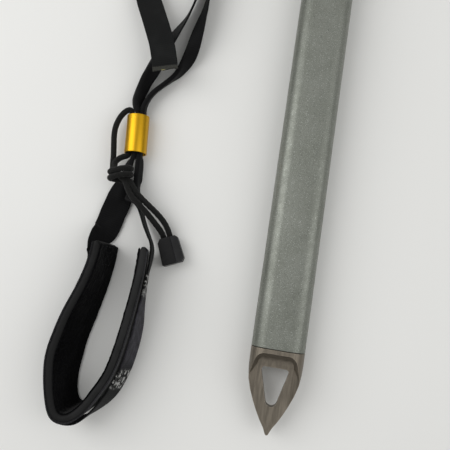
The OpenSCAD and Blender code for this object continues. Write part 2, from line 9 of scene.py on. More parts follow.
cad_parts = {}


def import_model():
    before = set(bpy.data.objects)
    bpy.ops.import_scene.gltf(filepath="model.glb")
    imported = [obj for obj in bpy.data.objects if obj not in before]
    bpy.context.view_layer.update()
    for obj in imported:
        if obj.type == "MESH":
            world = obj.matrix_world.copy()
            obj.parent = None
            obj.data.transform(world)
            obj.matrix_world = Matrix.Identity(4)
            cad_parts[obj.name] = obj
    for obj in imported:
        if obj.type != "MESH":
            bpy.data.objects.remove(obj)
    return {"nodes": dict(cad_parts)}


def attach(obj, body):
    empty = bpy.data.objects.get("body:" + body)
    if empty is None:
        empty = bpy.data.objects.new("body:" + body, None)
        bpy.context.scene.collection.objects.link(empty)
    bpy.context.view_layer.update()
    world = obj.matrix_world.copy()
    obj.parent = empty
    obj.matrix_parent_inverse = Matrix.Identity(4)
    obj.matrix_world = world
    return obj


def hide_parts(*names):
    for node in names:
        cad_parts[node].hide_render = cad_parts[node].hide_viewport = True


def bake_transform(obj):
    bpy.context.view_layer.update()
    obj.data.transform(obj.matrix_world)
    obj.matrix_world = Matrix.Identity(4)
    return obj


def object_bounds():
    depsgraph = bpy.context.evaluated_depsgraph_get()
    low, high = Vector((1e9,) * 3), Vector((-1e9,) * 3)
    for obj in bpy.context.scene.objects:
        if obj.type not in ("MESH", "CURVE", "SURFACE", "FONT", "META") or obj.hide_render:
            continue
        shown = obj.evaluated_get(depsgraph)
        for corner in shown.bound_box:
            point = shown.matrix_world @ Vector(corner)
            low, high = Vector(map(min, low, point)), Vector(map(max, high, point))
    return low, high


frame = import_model()
cad_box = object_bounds()
NODES = frame["nodes"]

# Leash points are [x, y from the shaft's lower end, height above the table] in millimetres.
SHAFT_LOW = 537.5
DROP = 17.79
STRAP_W = 15.0
STRAP_T = 1.1
CORD_D = 3.4
SLIDER_AT = (-99.6, 110.35, 6.6)
SLIDER_TURN = math.radians(4.9)
SWING_AT = (-28, 501.5, 14.7)
BUCKLE_AT = (-90, 297, 3.3)
BUCKLE_TURN = math.radians(-17)
LIE_ROLL = math.radians(5.74)
LIE_PITCH = math.radians(0.76)


# ---------- points and curves ----------

def row(p):
    """Leash points in millimetres to the row frame in metres."""
    p = np.asarray(p, float)
    return (p + np.array([0.0, -SHAFT_LOW, -DROP])) / 1000.0


def unit(v):
    return v / np.maximum(np.linalg.norm(v, axis=-1, keepdims=True), 1e-12)


def curve_at(points, s):
    """Smooth curve through the points; s counts points."""
    p = np.asarray(points, float)
    last = len(p) - 1
    s = np.clip(np.asarray(s, float), 0, last)
    i = np.minimum(np.floor(s).astype(int), last - 1)
    t = (s - i)[:, None]
    a, b = p[np.maximum(i - 1, 0)], p[i]
    c, d = p[i + 1], p[np.minimum(i + 2, last)]
    return 0.5 * (2 * b + (c - a) * t + (2 * a - 5 * b + 4 * c - d) * t ** 2 + (3 * b - a - 3 * c + d) * t ** 3)


def even(points, step):
    """The curve's points and their places s, at even steps along its length."""
    fine = np.linspace(0, len(points) - 1, 40 * (len(points) - 1) + 1)
    p = curve_at(points, fine)
    length = np.concatenate([[0], np.cumsum(np.linalg.norm(np.diff(p[:, :3], axis=0), axis=1))])
    n = max(2, int(round(length[-1] / step)) + 1)
    s = np.interp(np.linspace(0, length[-1], n), length, fine)
    return curve_at(points, s), s, np.linspace(0, length[-1], n)


def grain(shape, seed, size):
    """Repeatable soft noise on a grid, about -1 to 1; size is the blur in cells, (rows, columns)."""
    g = np.random.default_rng(seed).normal(size=shape)
    for axis, width in enumerate(size):
        if width < 1:
            continue
        k = np.hanning(2 * int(width) + 3)
        g = np.apply_along_axis(lambda v: np.convolve(v, k / k.sum(), mode="same"), axis, g)
    return g / (2 * g.std() + 1e-9)


# ---------- meshes ----------

def new_object(name, verts, faces, material, uv=None, smooth=True):
    mesh = bpy.data.meshes.new(name)
    mesh.from_pydata([tuple(v) for v in verts], [], faces)
    if uv is not None:
        layer = mesh.uv_layers.new(name="UVMap")
        index = np.empty(len(mesh.loops), np.int32)
        mesh.loops.foreach_get("vertex_index", index)
        layer.data.foreach_set("uv", np.asarray(uv, np.float32)[index].ravel())
    if smooth:
        mesh.shade_smooth()
    mesh.materials.append(material)
    obj = bpy.data.objects.new(name, mesh)
    bpy.context.scene.collection.objects.link(obj)
    return obj


def ring_faces(rows, cols, caps=True, start=0):
    i, j = np.meshgrid(np.arange(rows - 1), np.arange(cols), indexing="ij")
    a = start + i * cols + j
    b = start + i * cols + (j + 1) % cols
    faces = np.stack([a, b, b + cols, a + cols], -1).reshape(-1, 4).tolist()
    if caps:
        faces.append(list(range(start + cols - 1, start - 1, -1)))
        faces.append(list(range(start + (rows - 1) * cols, start + rows * cols)))
    return faces


def closed_faces(rows, cols):
    """Faces of a grid that closes on itself both ways."""
    return [[i * cols + j, i * cols + (j + 1) % cols, (i + 1) % rows * cols + (j + 1) % cols, (i + 1) % rows * cols + j]
            for i in range(rows) for j in range(cols)]


def rings_object(name, rings, uv, material, caps=True):
    rows, cols = rings.shape[:2]
    return new_object(name, row(rings.reshape(-1, 3)), ring_faces(rows, cols, caps), material, uv.reshape(-1, 2))


def sweep_frame(p):
    d = unit(np.gradient(p, axis=0))
    e = unit(np.cross(np.array([0, 0, 1.0]), d))
    return d, e, np.cross(d, e)


def rib_relief(a, s, rib, pitch):
    """Cross ribs with a slight chevron, as woven webbing has."""
    tri = np.abs((a / 2.6) % 1 - 0.5) * 2
    ribs = np.cos(2 * np.pi * (s + 0.42 * pitch * tri) / pitch)
    return rib * (0.7 * ribs + 0.3 * np.cos(2 * np.pi * a / 1.3))


def webbing(name, points, material, rib=0.055, pitch=1.25, step=0.31, cols=36, fray=0.0):
    """Woven webbing along points of [x, y, height, roll, fold]."""
    q, _, s = even(points, step)
    p, roll, fold = q[:, :3], np.radians(q[:, 3]), np.clip(q[:, 4], -1, 1)
    d, e, f = sweep_frame(p)
    u = np.cos(roll)[:, None] * e + np.sin(roll)[:, None] * f
    v = -np.sin(roll)[:, None] * e + np.cos(roll)[:, None] * f
    a = STRAP_W / 2 * np.sin(np.linspace(-1, 1, cols) * np.pi / 2 * 0.8) / math.sin(np.pi / 2 * 0.8)
    bend = np.clip(np.abs(a) / 1.35, 0, 1)
    turn = -np.sign(a) * bend * bend * (3 - 2 * bend) * np.pi / 2
    phi = fold[:, None] * turn[None, :]
    da = np.diff(a)
    mid = (phi[:, 1:] + phi[:, :-1]) / 2
    cx = np.concatenate([np.zeros((len(s), 1)), np.cumsum(np.cos(mid) * da, 1)], 1)
    cy = np.concatenate([np.zeros((len(s), 1)), np.cumsum(np.sin(mid) * da, 1)], 1)
    half = cols // 2
    cx -= (cx[:, half - 1:half] + cx[:, half:half + 1]) / 2
    cy -= (cy[:, half - 1:half] + cy[:, half:half + 1]) / 2
    edge = np.clip((np.abs(a) - (STRAP_W / 2 - 0.6)) / 0.6, 0, 1)
    thick = STRAP_T / 2 * np.sqrt(np.clip(1 - 0.85 * edge ** 2, 0.02, 1))
    relief = rib_relief(a[None, :], s[:, None], rib, pitch) * (1 - edge)[None, :]
    wave = grain((len(s), cols), len(name), (30, 8)) * 0.03
    top, low = thick + relief + wave, thick + rib_relief(a[None, :], s[:, None] + pitch / 2, rib, pitch) - wave
    if fray:
        near = np.clip((s - (s[-1] - fray)) / fray, 0, 1)[:, None]
        rough = grain((len(s), cols), 5, (1, 2))
        top = top * (1 - 0.25 * near) + 0.16 * near * rough
        low = low * (1 - 0.25 * near) + 0.12 * near * rough
    shift = np.zeros((len(s), cols))
    if fray:
        shift = near * np.broadcast_to(0.35 * grain((1, cols), 11, (0, 1)), (len(s), cols))

    def side(h):
        x = cx - np.sin(phi) * h
        y = cy + np.cos(phi) * h
        return p[:, None] + x[..., None] * u[:, None] + y[..., None] * v[:, None] + shift[..., None] * d[:, None]

    rings = np.concatenate([side(-low), side(top)[:, ::-1]], 1)
    across = np.concatenate([a, a[::-1]])
    uv = np.stack(np.broadcast_arrays(across[None, :], s[:, None]), -1)
    return rings_object(name, rings, uv, material)


def braided(name, points, material, away=(0, 0, 1), d=CORD_D, step=0.26, sides=28):
    """Round braided cord along points of [x, y, height]."""
    p, _, s = even(points, step)
    t = unit(np.gradient(p, axis=0))
    e = unit(np.cross(np.array(away, float), t))
    f = np.cross(t, e)
    th = np.arange(sides) * 2 * np.pi / sides
    left = np.cos(5 * th[None, :] + 2 * np.pi * s[:, None] / 3.1)
    right = np.cos(5 * th[None, :] - 2 * np.pi * s[:, None] / 3.1)
    r = d / 2 - 0.06 + 0.09 * np.maximum(left, right)
    rings = p[:, None] + r[..., None] * (np.cos(th)[None, :, None] * e[:, None] + np.sin(th)[None, :, None] * f[:, None])
    uv = np.stack(np.broadcast_arrays(th[None, :] * d / 2, s[:, None]), -1)
    return rings_object(name, rings, uv, material)


def join(name, parts):
    """One object from several new ones that share a material."""
    verts, faces, uvs = [], [], []
    for o in parts:
        start = len(verts)
        mesh = o.data
        verts += [tuple(v.co) for v in mesh.vertices]
        faces += [[start + i for i in p.vertices] for p in mesh.polygons]
        at = np.zeros((len(mesh.vertices), 2))
        for l, d in zip(mesh.loops, mesh.uv_layers[0].data):
            at[l.vertex_index] = d.uv
        uvs.append(at)
    material = parts[0].data.materials[0]
    for o in parts:
        bpy.data.objects.remove(o)
    return new_object(name, verts, faces, material, np.concatenate(uvs))


# ---------- materials ----------

class Shade:
    """A small builder for node materials. Lengths are metres unless a UV map in millimetres is read."""

    def __init__(self, name, **inputs):
        self.material = bpy.data.materials.new(name)
        self.material.use_nodes = True
        self.tree = self.material.node_tree
        self.bsdf = self.tree.nodes["Principled BSDF"]
        for key, value in inputs.items():
            self.set(key.replace("_", " "), value)

    def node(self, kind, **props):
        n = self.tree.nodes.new("ShaderNode" + kind)
        for k, v in props.items():
            setattr(n, k, v)
        return n

    def put(self, target, value):
        if isinstance(value, bpy.types.NodeSocket):
            self.tree.links.new(value, target)
        elif isinstance(value, (tuple, list)) and len(value) == 3 and target.type == "RGBA":
            target.default_value = (*value, 1)
        else:
            target.default_value = value

    def set(self, name, value):
        names = {"Metal": "Metallic", "Rough": "Roughness", "Color": "Base Color"}
        self.put(self.bsdf.inputs[names.get(name, name)], value)

    def where(self, kind="Object", scale=(1, 1, 1)):
        m = self.node("Mapping")
        self.put(m.inputs["Vector"], self.node("TexCoord").outputs[kind])
        m.inputs["Scale"].default_value = scale
        return m.outputs[0]

    def noise(self, vector, scale, detail=3, rough=0.55):
        n = self.node("TexNoise")
        self.put(n.inputs["Vector"], vector)
        for k, v in (("Scale", scale), ("Detail", detail), ("Roughness", rough)):
            n.inputs[k].default_value = v
        return n.outputs["Fac"]

    def math(self, op, a, b=0.0, c=0.0, clamp=False):
        n = self.node("Math", operation=op, use_clamp=clamp)
        for i, v in enumerate((a, b, c)):
            self.put(n.inputs[i], v)
        return n.outputs[0]

    def span(self, value, low, high, a=0.0, b=1.0):
        n = self.node("MapRange", interpolation_type="SMOOTHSTEP")
        for k, v in (("Value", value), ("From Min", low), ("From Max", high), ("To Min", a), ("To Max", b)):
            self.put(n.inputs[k], v)
        return n.outputs[0]

    def split(self, vector):
        n = self.node("SeparateXYZ")
        self.put(n.inputs[0], vector)
        return n.outputs

    def mix(self, fac, a, b):
        n = self.node("Mix", data_type="RGBA")
        self.put(n.inputs[0], fac)
        self.put(n.inputs[6], a)
        self.put(n.inputs[7], b)
        return n.outputs[2]

    def bump(self, height, distance, strength=1.0, normal=None):
        n = self.node("Bump")
        self.put(n.inputs["Height"], height)
        n.inputs["Distance"].default_value = distance
        n.inputs["Strength"].default_value = strength
        if normal is not None:
            self.put(n.inputs["Normal"], normal)
        return n.outputs[0]


def painted_metal():
    """Grey-green metallic powder coat with a fine sparkle."""
    m = Shade("powder_coat", Metal=0.55, Rough=0.42)
    p = m.where()
    cloud = m.noise(p, 55, 3)
    fleck = m.noise(p, 2600, 1, 0.3)
    color = m.mix(m.span(cloud, 0.3, 0.7), (0.185, 0.195, 0.168), (0.215, 0.225, 0.198))
    color = m.mix(m.span(fleck, 0.6, 0.78), color, (0.42, 0.44, 0.41))
    color = m.mix(m.span(fleck, 0.4, 0.26), color, (0.11, 0.12, 0.105))
    m.set("Color", color)
    m.set("Roughness", m.span(m.noise(p, 260, 2), 0.3, 0.7, 0.36, 0.48))
    m.set("Normal", m.bump(m.noise(p, 1500, 2), 0.00008, 0.7))
    return m.material


def steel(name, light, dark, rough, strokes=(900, 60, 900), metal=0.9, mask=None):
    """Ground steel: stroke marks stretched along Y, cloudy oxide and a painted highlight that lightens the colour along
    the edges.
    """
    m = Shade(name, Metal=metal, Rough=rough)
    p = m.where()
    brushed = m.noise(m.where(scale=strokes), 1, 4, 0.6)
    cloud = m.noise(p, 70, 4)
    color = m.mix(m.span(brushed, 0.3, 0.72), dark, light)
    color = m.mix(m.span(cloud, 0.35, 0.75, 0, 0.45), color, tuple(c * 0.62 for c in light))
    if mask is not None:
        color = m.mix(mask(m), color, tuple(c * 0.6 for c in dark))
    # Painted highlight: the colour is lightened along edges, where the bevel's rounded normal turns away from the face
    # normal.
    edge = m.node("Bevel", samples=4)
    edge.inputs["Radius"].default_value = 0.0006
    painted_edge_highlight = m.node("VectorMath", operation="DOT_PRODUCT")
    m.put(painted_edge_highlight.inputs[0], edge.outputs[0])
    m.put(painted_edge_highlight.inputs[1], m.node("NewGeometry").outputs["Normal"])
    color = m.mix(m.span(painted_edge_highlight.outputs["Value"], 0.97, 0.8, 0, 0.55), color, tuple(min(1, c * 1.9) for c in light))
    m.set("Color", color)
    m.set("Roughness", m.span(brushed, 0.2, 0.8, rough - 0.09, rough + 0.1))
    m.set("Normal", m.bump(brushed, 0.00006, 0.8, m.bump(cloud, 0.0002, 0.5)))
    return m.material


def gold():
    """Bright gold anodised aluminium with faint turning marks round it."""
    m = Shade("gold_anodised", Metal=1.0, Rough=0.4)
    turned = m.noise(m.where(scale=(30, 5200, 30)), 1, 3)
    color = m.mix(m.span(turned, 0.3, 0.7), (0.57, 0.315, 0.012), (0.64, 0.365, 0.02))
    m.set("Color", color)
    m.set("Roughness", m.span(turned, 0.25, 0.75, 0.35, 0.43))
    m.set("Normal", m.bump(turned, 0.00002, 0.6))
    return m.material


def woven(name, dark, light, sheen=0.05, rough=0.82, end=None, wear=None):
    """Nylon webbing read from its UV map: u across and v along, in millimetres."""
    m = Shade(name, Rough=rough)
    x, y, _ = m.split(m.where("UV"))
    ribs = m.math("SINE", m.math("MULTIPLY", y, 2 * math.pi / 1.25))
    yarns = m.math("SINE", m.math("ADD", m.math("MULTIPLY", x, 2 * math.pi / 0.65), m.math("MULTIPLY", y, 2.5)))
    cloth = m.math("ADD", m.math("MULTIPLY", ribs, 0.3), m.math("MULTIPLY", yarns, 0.2))
    fuzz = m.noise(m.where(), 1800, 3, 0.7)
    tone = m.math("ADD", m.math("ADD", cloth, 0.5), m.math("MULTIPLY", m.math("SUBTRACT", fuzz, 0.5), 0.7), clamp=True)
    color = m.mix(tone, dark, light)
    patch = m.noise(m.where(), 60, 3)
    color = m.mix(m.span(patch, 0.45, 0.75, 0, 0.35), color, tuple(c * 1.7 + 0.003 for c in light))
    if end is not None:
        color = end(m, x, y, color)
    if wear is not None:
        color = wear(m, x, y, color)
    m.set("Color", color)
    m.set("Sheen Weight", sheen)
    m.set("Sheen Roughness", 0.5)
    m.set("Specular IOR Level", 0.1)
    m.set("Normal", m.bump(cloth, 0.00009, 0.8, m.bump(fuzz, 0.0001, 0.6)))
    return m.material


def braid_material():
    m = Shade("cord_braid", Rough=0.7)
    x, y, _ = m.split(m.where("UV"))
    one = m.math("SINE", m.math("ADD", m.math("MULTIPLY", x, 6.9), m.math("MULTIPLY", y, 4.0)))
    two = m.math("SINE", m.math("SUBTRACT", m.math("MULTIPLY", x, 6.9), m.math("MULTIPLY", y, 4.0)))
    knit = m.math("MULTIPLY", one, two)
    fuzz = m.noise(m.where(), 2400, 2, 0.7)
    m.set("Color", m.mix(m.math("MULTIPLY_ADD", knit, 0.5, 0.5), (0.003, 0.003, 0.003), (0.013, 0.013, 0.012)))
    m.set("Sheen Weight", 0.06)
    m.set("Specular IOR Level", 0.12)
    m.set("Normal", m.bump(knit, 0.00012, 0.9, m.bump(fuzz, 0.0001, 0.5)))
    return m.material


def plastic(name, color, rough=0.38):
    m = Shade(name, Rough=rough)
    p = m.where()
    grainy = m.noise(p, 1400, 2)
    m.set("Color", m.mix(m.span(m.noise(p, 120, 3), 0.35, 0.7), color, tuple(c * 1.8 + 0.002 for c in color)))
    m.set("Roughness", m.span(grainy, 0.3, 0.7, rough - 0.07, rough + 0.12))
    m.set("Specular IOR Level", 0.2)
    m.set("Normal", m.bump(grainy, 0.00004, 0.6))
    return m.material


def velour():
    """Very dark pile: only grazing light catches the fibre tips."""
    m = Shade("black_velour", Rough=1.0)
    p = m.where()
    nap = m.noise(p, 900, 4, 0.7)
    brushed = m.noise(m.where(scale=(70, 30, 45)), 1, 3)
    m.set("Color", m.mix(m.span(nap, 0.35, 0.75), (0.0012, 0.0012, 0.0014), (0.006, 0.006, 0.007)))
    m.set("Sheen Weight", m.span(brushed, 0.35, 0.7, 0.03, 0.14))
    m.set("Sheen Roughness", 0.35)
    m.set("Specular IOR Level", 0.05)
    m.set("Normal", m.bump(nap, 0.0004, 0.9))
    return m.material


def foam():
    """Smooth grey foam edge with a soft, slightly cloudy skin; its left side is darkened with painted shade."""
    m = Shade("foam_skin", Rough=0.62)
    p = m.where()
    pores = m.noise(p, 1700, 2)
    cloud = m.noise(p, 90, 3)
    color = m.mix(m.span(cloud, 0.3, 0.75), (0.006, 0.006, 0.0062), (0.012, 0.012, 0.0122))
    # Painted shade: the colour darkens towards the pad's left side, below x = -100.5 mm.
    far = m.span(m.split(p)[0], -0.1005, -0.1085)
    m.set("Color", m.mix(far, color, (0.0035, 0.0035, 0.0037)))
    m.set("Sheen Weight", 0.03)
    m.set("Specular IOR Level", 0.2)
    m.set("Normal", m.bump(pores, 0.00007, 0.6, m.bump(cloud, 0.0004, 0.3)))
    return m.material


# ---------- the leash's run ----------

UPPER = [
    [-28, 492.4, 13.8, 0, 0], [-33, 475, 9.4, 0, 0], [-44, 438, 3.6, 0, 0], [-58, 395, 1.4, 0, 0],
    [-72, 350, 1.2, 0, 0], [-83.4, 318.5, 0.8, 0, 0], [-87.8, 304.2, 0.8, 0, 0],
]
LOWER = [
    [-90, 297, 0.8, 0, 0], [-92.9, 287.4, 0.8, 0, 0], [-93.5, 274, 2.2, 12, 0], [-90, 258, 5.2, 40, 0],
    [-83, 238, 7.9, 75, 0], [-77.9, 222, 8.3, 79, 0], [-76.6, 211, 8.3, 79, 0], [-78.2, 199.7, 8.3, 77, 0],
    [-80.4, 191, 8.2, 72, 0], [-83, 184.5, 8.2, 64, 0], [-87.2, 176, 7.9, 55, 0],
    [-92.3, 167, 7.9, 45, 0.1], [-97.3, 157.5, 7.9, 33, 0.34], [-101.2, 148, 8.2, 18, 0.62],
    [-102.7, 140, 8.7, 6, 0.72], [-103.3, 133.5, 9.2, 0, 0.77], [-103.1, 128.4, 9.5, 0, 0.88],
    [-101.17, 123.95, 9.65, 0, 1],
]
RIGHT = [
    [-28, 492.4, 15.6, 0, 0], [-30.2, 476, 14, 0, 0], [-36, 446, 11.2, 22, 0], [-40.2, 422, 10.8, 44, 0],
    [-46, 395, 9.5, 74, 0], [-52.5, 360, 8.4, 88, 0], [-59, 320, 8.3, 90, 0], [-67, 255, 8.3, 87, 0],
    [-70.6, 220, 8.3, 84, 0.05], [-71.6, 200.6, 8.3, 80, 0.11], [-73, 192, 8.3, 73, 0.19],
    [-74.7, 185.8, 8.3, 65, 0.28], [-76.9, 176.3, 8.3, 52, 0.42], [-78.5, 167, 8.3, 38, 0.58],
    [-80.1, 159, 8.3, 18, 0.8], [-82.2, 152.2, 8.3, 0, 0.95], [-85.2, 147.4, 8.3, -12, 1],
    [-89.3, 142.8, 8.3, -16, 1], [-93.5, 138, 8.6, -15, 1], [-96.5, 133, 9.1, -9, 1],
    [-98.1, 128.3, 9.6, -2, 1], [-98.28, 124.15, 9.65, 0, 1],
]
TAIL = [
    [-92.2, 289.8, 5.8, 0, 0], [-94.5, 281.5, 6, 0, 0], [-100, 266, 6.5, 0, 0], [-107, 245, 6, 0, 0],
    [-111.4, 222, 6.2, 0, 0], [-110, 205, 8.2, 0, 0], [-106.2, 194, 10.2, 0, 0], [-101.5, 184.2, 12.6, 0, 0],
    [-97, 174.8, 14.6, 0, 0], [-92.9, 165.8, 16, 0, 0], [-89.9, 157.1, 16.8, 0, 0], [-87.6, 148.9, 17, 0, 0],
]
CORD_LOOP = [
    [-109.6, 87.4, 9.6], [-110.3, 91, 8.6], [-110.8, 95, 8.1], [-111.7, 101, 8], [-112.6, 107, 8],
    [-112.8, 112, 8], [-112, 116.6, 8], [-110.5, 120.4, 8], [-108.3, 123.4, 8], [-106, 124.7, 7.7],
    [-104.75, 123.4, 7.35], [-104.52, 121.4, 7.3], [-103.54, 110, 7.3], [-102.6, 98.9, 7.3], [-103.1, 96.8, 8],
    [-104.8, 95.5, 9.3], [-106.8, 93.8, 10.3], [-108.2, 91.2, 11.7], [-107.9, 88.2, 13.2],
]
OUTER_TAIL = [
    [-97.4, 81.4, 14.6], [-94.4, 77.2, 14.9], [-90, 72.8, 14.9], [-86, 69.8, 14.6], [-82.2, 67.1, 13.6],
    [-78.8, 64.6, 12.2], [-76, 62.2, 10.4], [-73.6, 59.5, 8.4], [-71.2, 55.6, 6.4], [-69.9, 52.1, 5.1],
    [-69.1, 49.6, 4.7],
]
INNER_TAIL = [
    [-99.8, 80.5, 15], [-97, 75.5, 16.6], [-93.7, 71.4, 17.5], [-89.9, 68.4, 17.5], [-84.5, 64, 15.8],
    [-81.7, 61.4, 13.6], [-79, 58.8, 11.2], [-76.8, 56.6, 8.8], [-74.8, 54.1, 6.5], [-73.4, 51.5, 5.1],
    [-72.5, 49.4, 4.7],
]
WRIST_TOP = [
    [-99.56, 84.94, 9.35, -38, 1], [-99.64, 83.3, 9.25, -35, 0.97], [-100.15, 81.5, 8.6, -27, 0.8],
    [-101, 79.3, 7.7, -19, 0.6], [-102.3, 76.3, 6, -12, 0.38], [-103.8, 72, 3.8, -9, 0.15],
    [-105, 67.5, 2.5, -8, 0], [-106.4, 62.5, 2.2, -8, 0], [-107.6, 56, 2.5, -11, 0], [-108.8, 51, 4, -26, 0],
    [-110.8, 46.8, 6.6, -50, 0], [-111.6, 42.6, 8.8, -67, 0], [-110.9, 37, 10.9, -73, 0],
]
WRIST_BACK = [
    [-78, 38, 12.5, -87, 0], [-78.3, 43.5, 11.7, -88, 0], [-79.5, 47.5, 11, -88, 0],
    [-81.8, 51.5, 10.4, -89, 0], [-84.4, 56, 9.6, -90, 0], [-87, 61, 8.9, -90, 0], [-89.5, 66, 8.4, -93, 0],
    [-91.2, 70, 8.3, -104, -0.12], [-92.6, 73.8, 8.5, -132, -0.47], [-94, 77.5, 9, -165, -0.82],
    [-95.16, 81.3, 9.45, -190, -1], [-95.52, 85.28, 9.55, -196, -1],
]
PAD_LOW = [
    [-102.4, 44, 0.9], [-102.9, 31, 0.9], [-104.8, 17, 0.9], [-107.6, 2, 0.9], [-110.2, -10, 0.9],
    [-111.8, -23, 0.9], [-112.2, -33.5, 0.9], [-111, -42.5, 0.9], [-107.8, -48.2, 0.9], [-102.8, -49, 0.9],
    [-97.2, -44.4, 0.9], [-91.4, -36, 0.9], [-87.6, -26, 0.9], [-85.2, -14, 0.9], [-84.2, 0, 0.9],
    [-83.6, 15, 0.9], [-83.6, 30, 0.9], [-84.6, 44.5, 0.9],
]
PAD_HIGH = [
    [-107.4, 44, 24.6], [-108.6, 31, 23.8], [-112.4, 17, 23], [-117.6, 2, 22.6], [-120.4, -10, 22.6],
    [-122, -21, 22.6], [-121, -32, 22.6], [-118, -44, 22.6], [-114, -51.8, 22.8], [-107.8, -53, 23.2],
    [-100.6, -47.6, 23.8], [-93.9, -37, 24.2], [-88.8, -26, 24.6], [-86, -14, 24.8], [-83.9, 0, 25],
    [-82.2, 15, 25], [-81.1, 30, 25], [-81.2, 44.5, 25],
]
PAD_ENDS = len(PAD_LOW) - 1
PAD_IN, LINING_OUT, FOAM_OUT = -2.75, -2.05, 2.15


def turned(points, at, turn):
    c, s = math.cos(turn), math.sin(turn)
    return [[at[0] + c * x - s * y, at[1] + s * x + c * y, at[2] + z, *rest] for x, y, z, *rest in points]


# ---------- pad ----------

def pad_frame(s):
    """Lower edge, upper edge and outward direction of the pad at places s."""
    low, high = curve_at(PAD_LOW, s), curve_at(PAD_HIGH, s)
    ahead, back = np.minimum(s + 0.1, PAD_ENDS), np.maximum(s - 0.1, 0)
    d = curve_at(PAD_LOW, ahead) - curve_at(PAD_LOW, back) + curve_at(PAD_HIGH, ahead) - curve_at(PAD_HIGH, back)
    return low, high, unit(np.stack([d[:, 1], -d[:, 0], np.zeros(len(s))], 1))


def pad_places(step, a=0.0, b=PAD_ENDS):
    """Even steps along the pad's middle, as places s and as millimetres."""
    fine = np.linspace(a, b, 900)
    middle = (curve_at(PAD_LOW, fine) + curve_at(PAD_HIGH, fine)) / 2
    length = np.concatenate([[0], np.cumsum(np.linalg.norm(np.diff(middle, axis=0), axis=1))])
    at = np.linspace(0, length[-1], int(length[-1] / step) + 1)
    return np.interp(at, length, fine), at


def rounded_profile(v0, v1, t0, t1, r, height=25.0, nv=26, nt=4, arc=5):
    """Closed ring of (v, t): a rectangle with round corners, heights as shares and depths in mm."""
    h0, h1 = v0 * height, v1 * height
    r = min(r, (t1 - t0) / 2 - 1e-3)
    ring = []

    def side(a, b, n):
        ring.extend([(a[0] + (b[0] - a[0]) * k / n, a[1] + (b[1] - a[1]) * k / n) for k in range(n)])

    def corner(h, t, start):
        ring.extend([
            (h + r * math.cos(start + math.pi / 2 * k / arc), t + r * math.sin(start + math.pi / 2 * k / arc))
            for k in range(arc)
        ])

    side((h0 + r, t0), (h1 - r, t0), nv)
    corner(h1 - r, t0 + r, -math.pi / 2)
    side((h1, t0 + r), (h1, t1 - r), nt)
    corner(h1 - r, t1 - r, 0)
    side((h1 - r, t1), (h0 + r, t1), nv)
    corner(h0 + r, t1 - r, math.pi / 2)
    side((h0, t1 - r), (h0, t0 + r), nt)
    corner(h0 + r, t0 + r, math.pi)
    ring = np.array(ring)
    return ring[:, 0] / height, ring[:, 1]


def pad_layer(name, material, v, t, step=1.0, a=0.0, b=PAD_ENDS, round_end=0.0, push=None):
    """A layer of the pad swept from its profile; push(s, v, t, along) moves its depths."""
    s, at = pad_places(step, a, b)
    low, high, out = pad_frame(s)
    vv = np.broadcast_to(v, (len(s), len(v))).copy()
    tt = np.broadcast_to(t, (len(s), len(t))).copy()
    if round_end:
        near = np.clip(np.minimum(at, at[-1] - at) / round_end, 0, 1)
        shrink = np.sqrt(np.clip(1 - (1 - near) ** 2, 0.02, 1))[:, None]
        tm, vm = (t.min() + t.max()) / 2, 0.5
        tt = tm + (tt - tm) * shrink
        vv = vm + (vv - vm) * (1 - 0.06 * (1 - shrink))
    if push is not None:
        tt = tt + push(s[:, None], vv, tt, at[:, None])
    rings = low[:, None] + vv[..., None] * (high - low)[:, None] + tt[..., None] * out[:, None]
    uv = np.stack([vv * 25, np.broadcast_to(at[:, None], vv.shape)], -1)
    return rings_object(name, rings, uv, material)


def puff(obj, voxel, cap, pressure=4.0, frames=20):
    """Swells a soft form with Cloth and keeps the result, no point moving further than cap metres."""
    mesh = obj.data
    copy = obj.copy()
    copy.data = mesh.copy()
    bpy.context.scene.collection.objects.link(copy)
    remesh = copy.modifiers.new("voxels", "REMESH")
    remesh.mode, remesh.voxel_size, remesh.use_smooth_shade = "VOXEL", voxel, True
    bpy.context.view_layer.update()
    done = bpy.data.meshes.new_from_object(copy.evaluated_get(bpy.context.evaluated_depsgraph_get()))
    copy.modifiers.clear()
    copy.data = done
    cloth = copy.modifiers.new("cloth", "CLOTH")
    cloth.settings.use_pressure = True
    cloth.settings.uniform_pressure_force = pressure
    cloth.settings.effector_weights.gravity = 0
    cloth.settings.quality = 4
    cloth.point_cache.frame_start, cloth.point_cache.frame_end = 1, frames
    start = np.array([v.co for v in done.vertices])
    for f in range(1, frames + 1):
        bpy.context.scene.frame_set(f)
    moved = bpy.data.meshes.new_from_object(copy.evaluated_get(bpy.context.evaluated_depsgraph_get()))
    end = np.array([v.co for v in moved.vertices])
    shift = end - start
    far = np.linalg.norm(shift, axis=1, keepdims=True)
    end = start + shift * np.minimum(1, cap / np.maximum(far, 1e-9))
    copy.modifiers.clear()
    copy.data = moved
    moved.vertices.foreach_set("co", end.ravel())
    sub = copy.modifiers.new("subdivision", "SUBSURF")
    sub.levels = sub.render_levels = 1
    bpy.context.view_layer.update()
    final = bpy.data.meshes.new_from_object(copy.evaluated_get(bpy.context.evaluated_depsgraph_get()))
    bpy.data.objects.remove(copy)
    final.shade_smooth()
    final.materials.clear()
    final.materials.append(mesh.materials[0])
    obj.data = final
    bpy.context.scene.frame_set(1)
    return obj


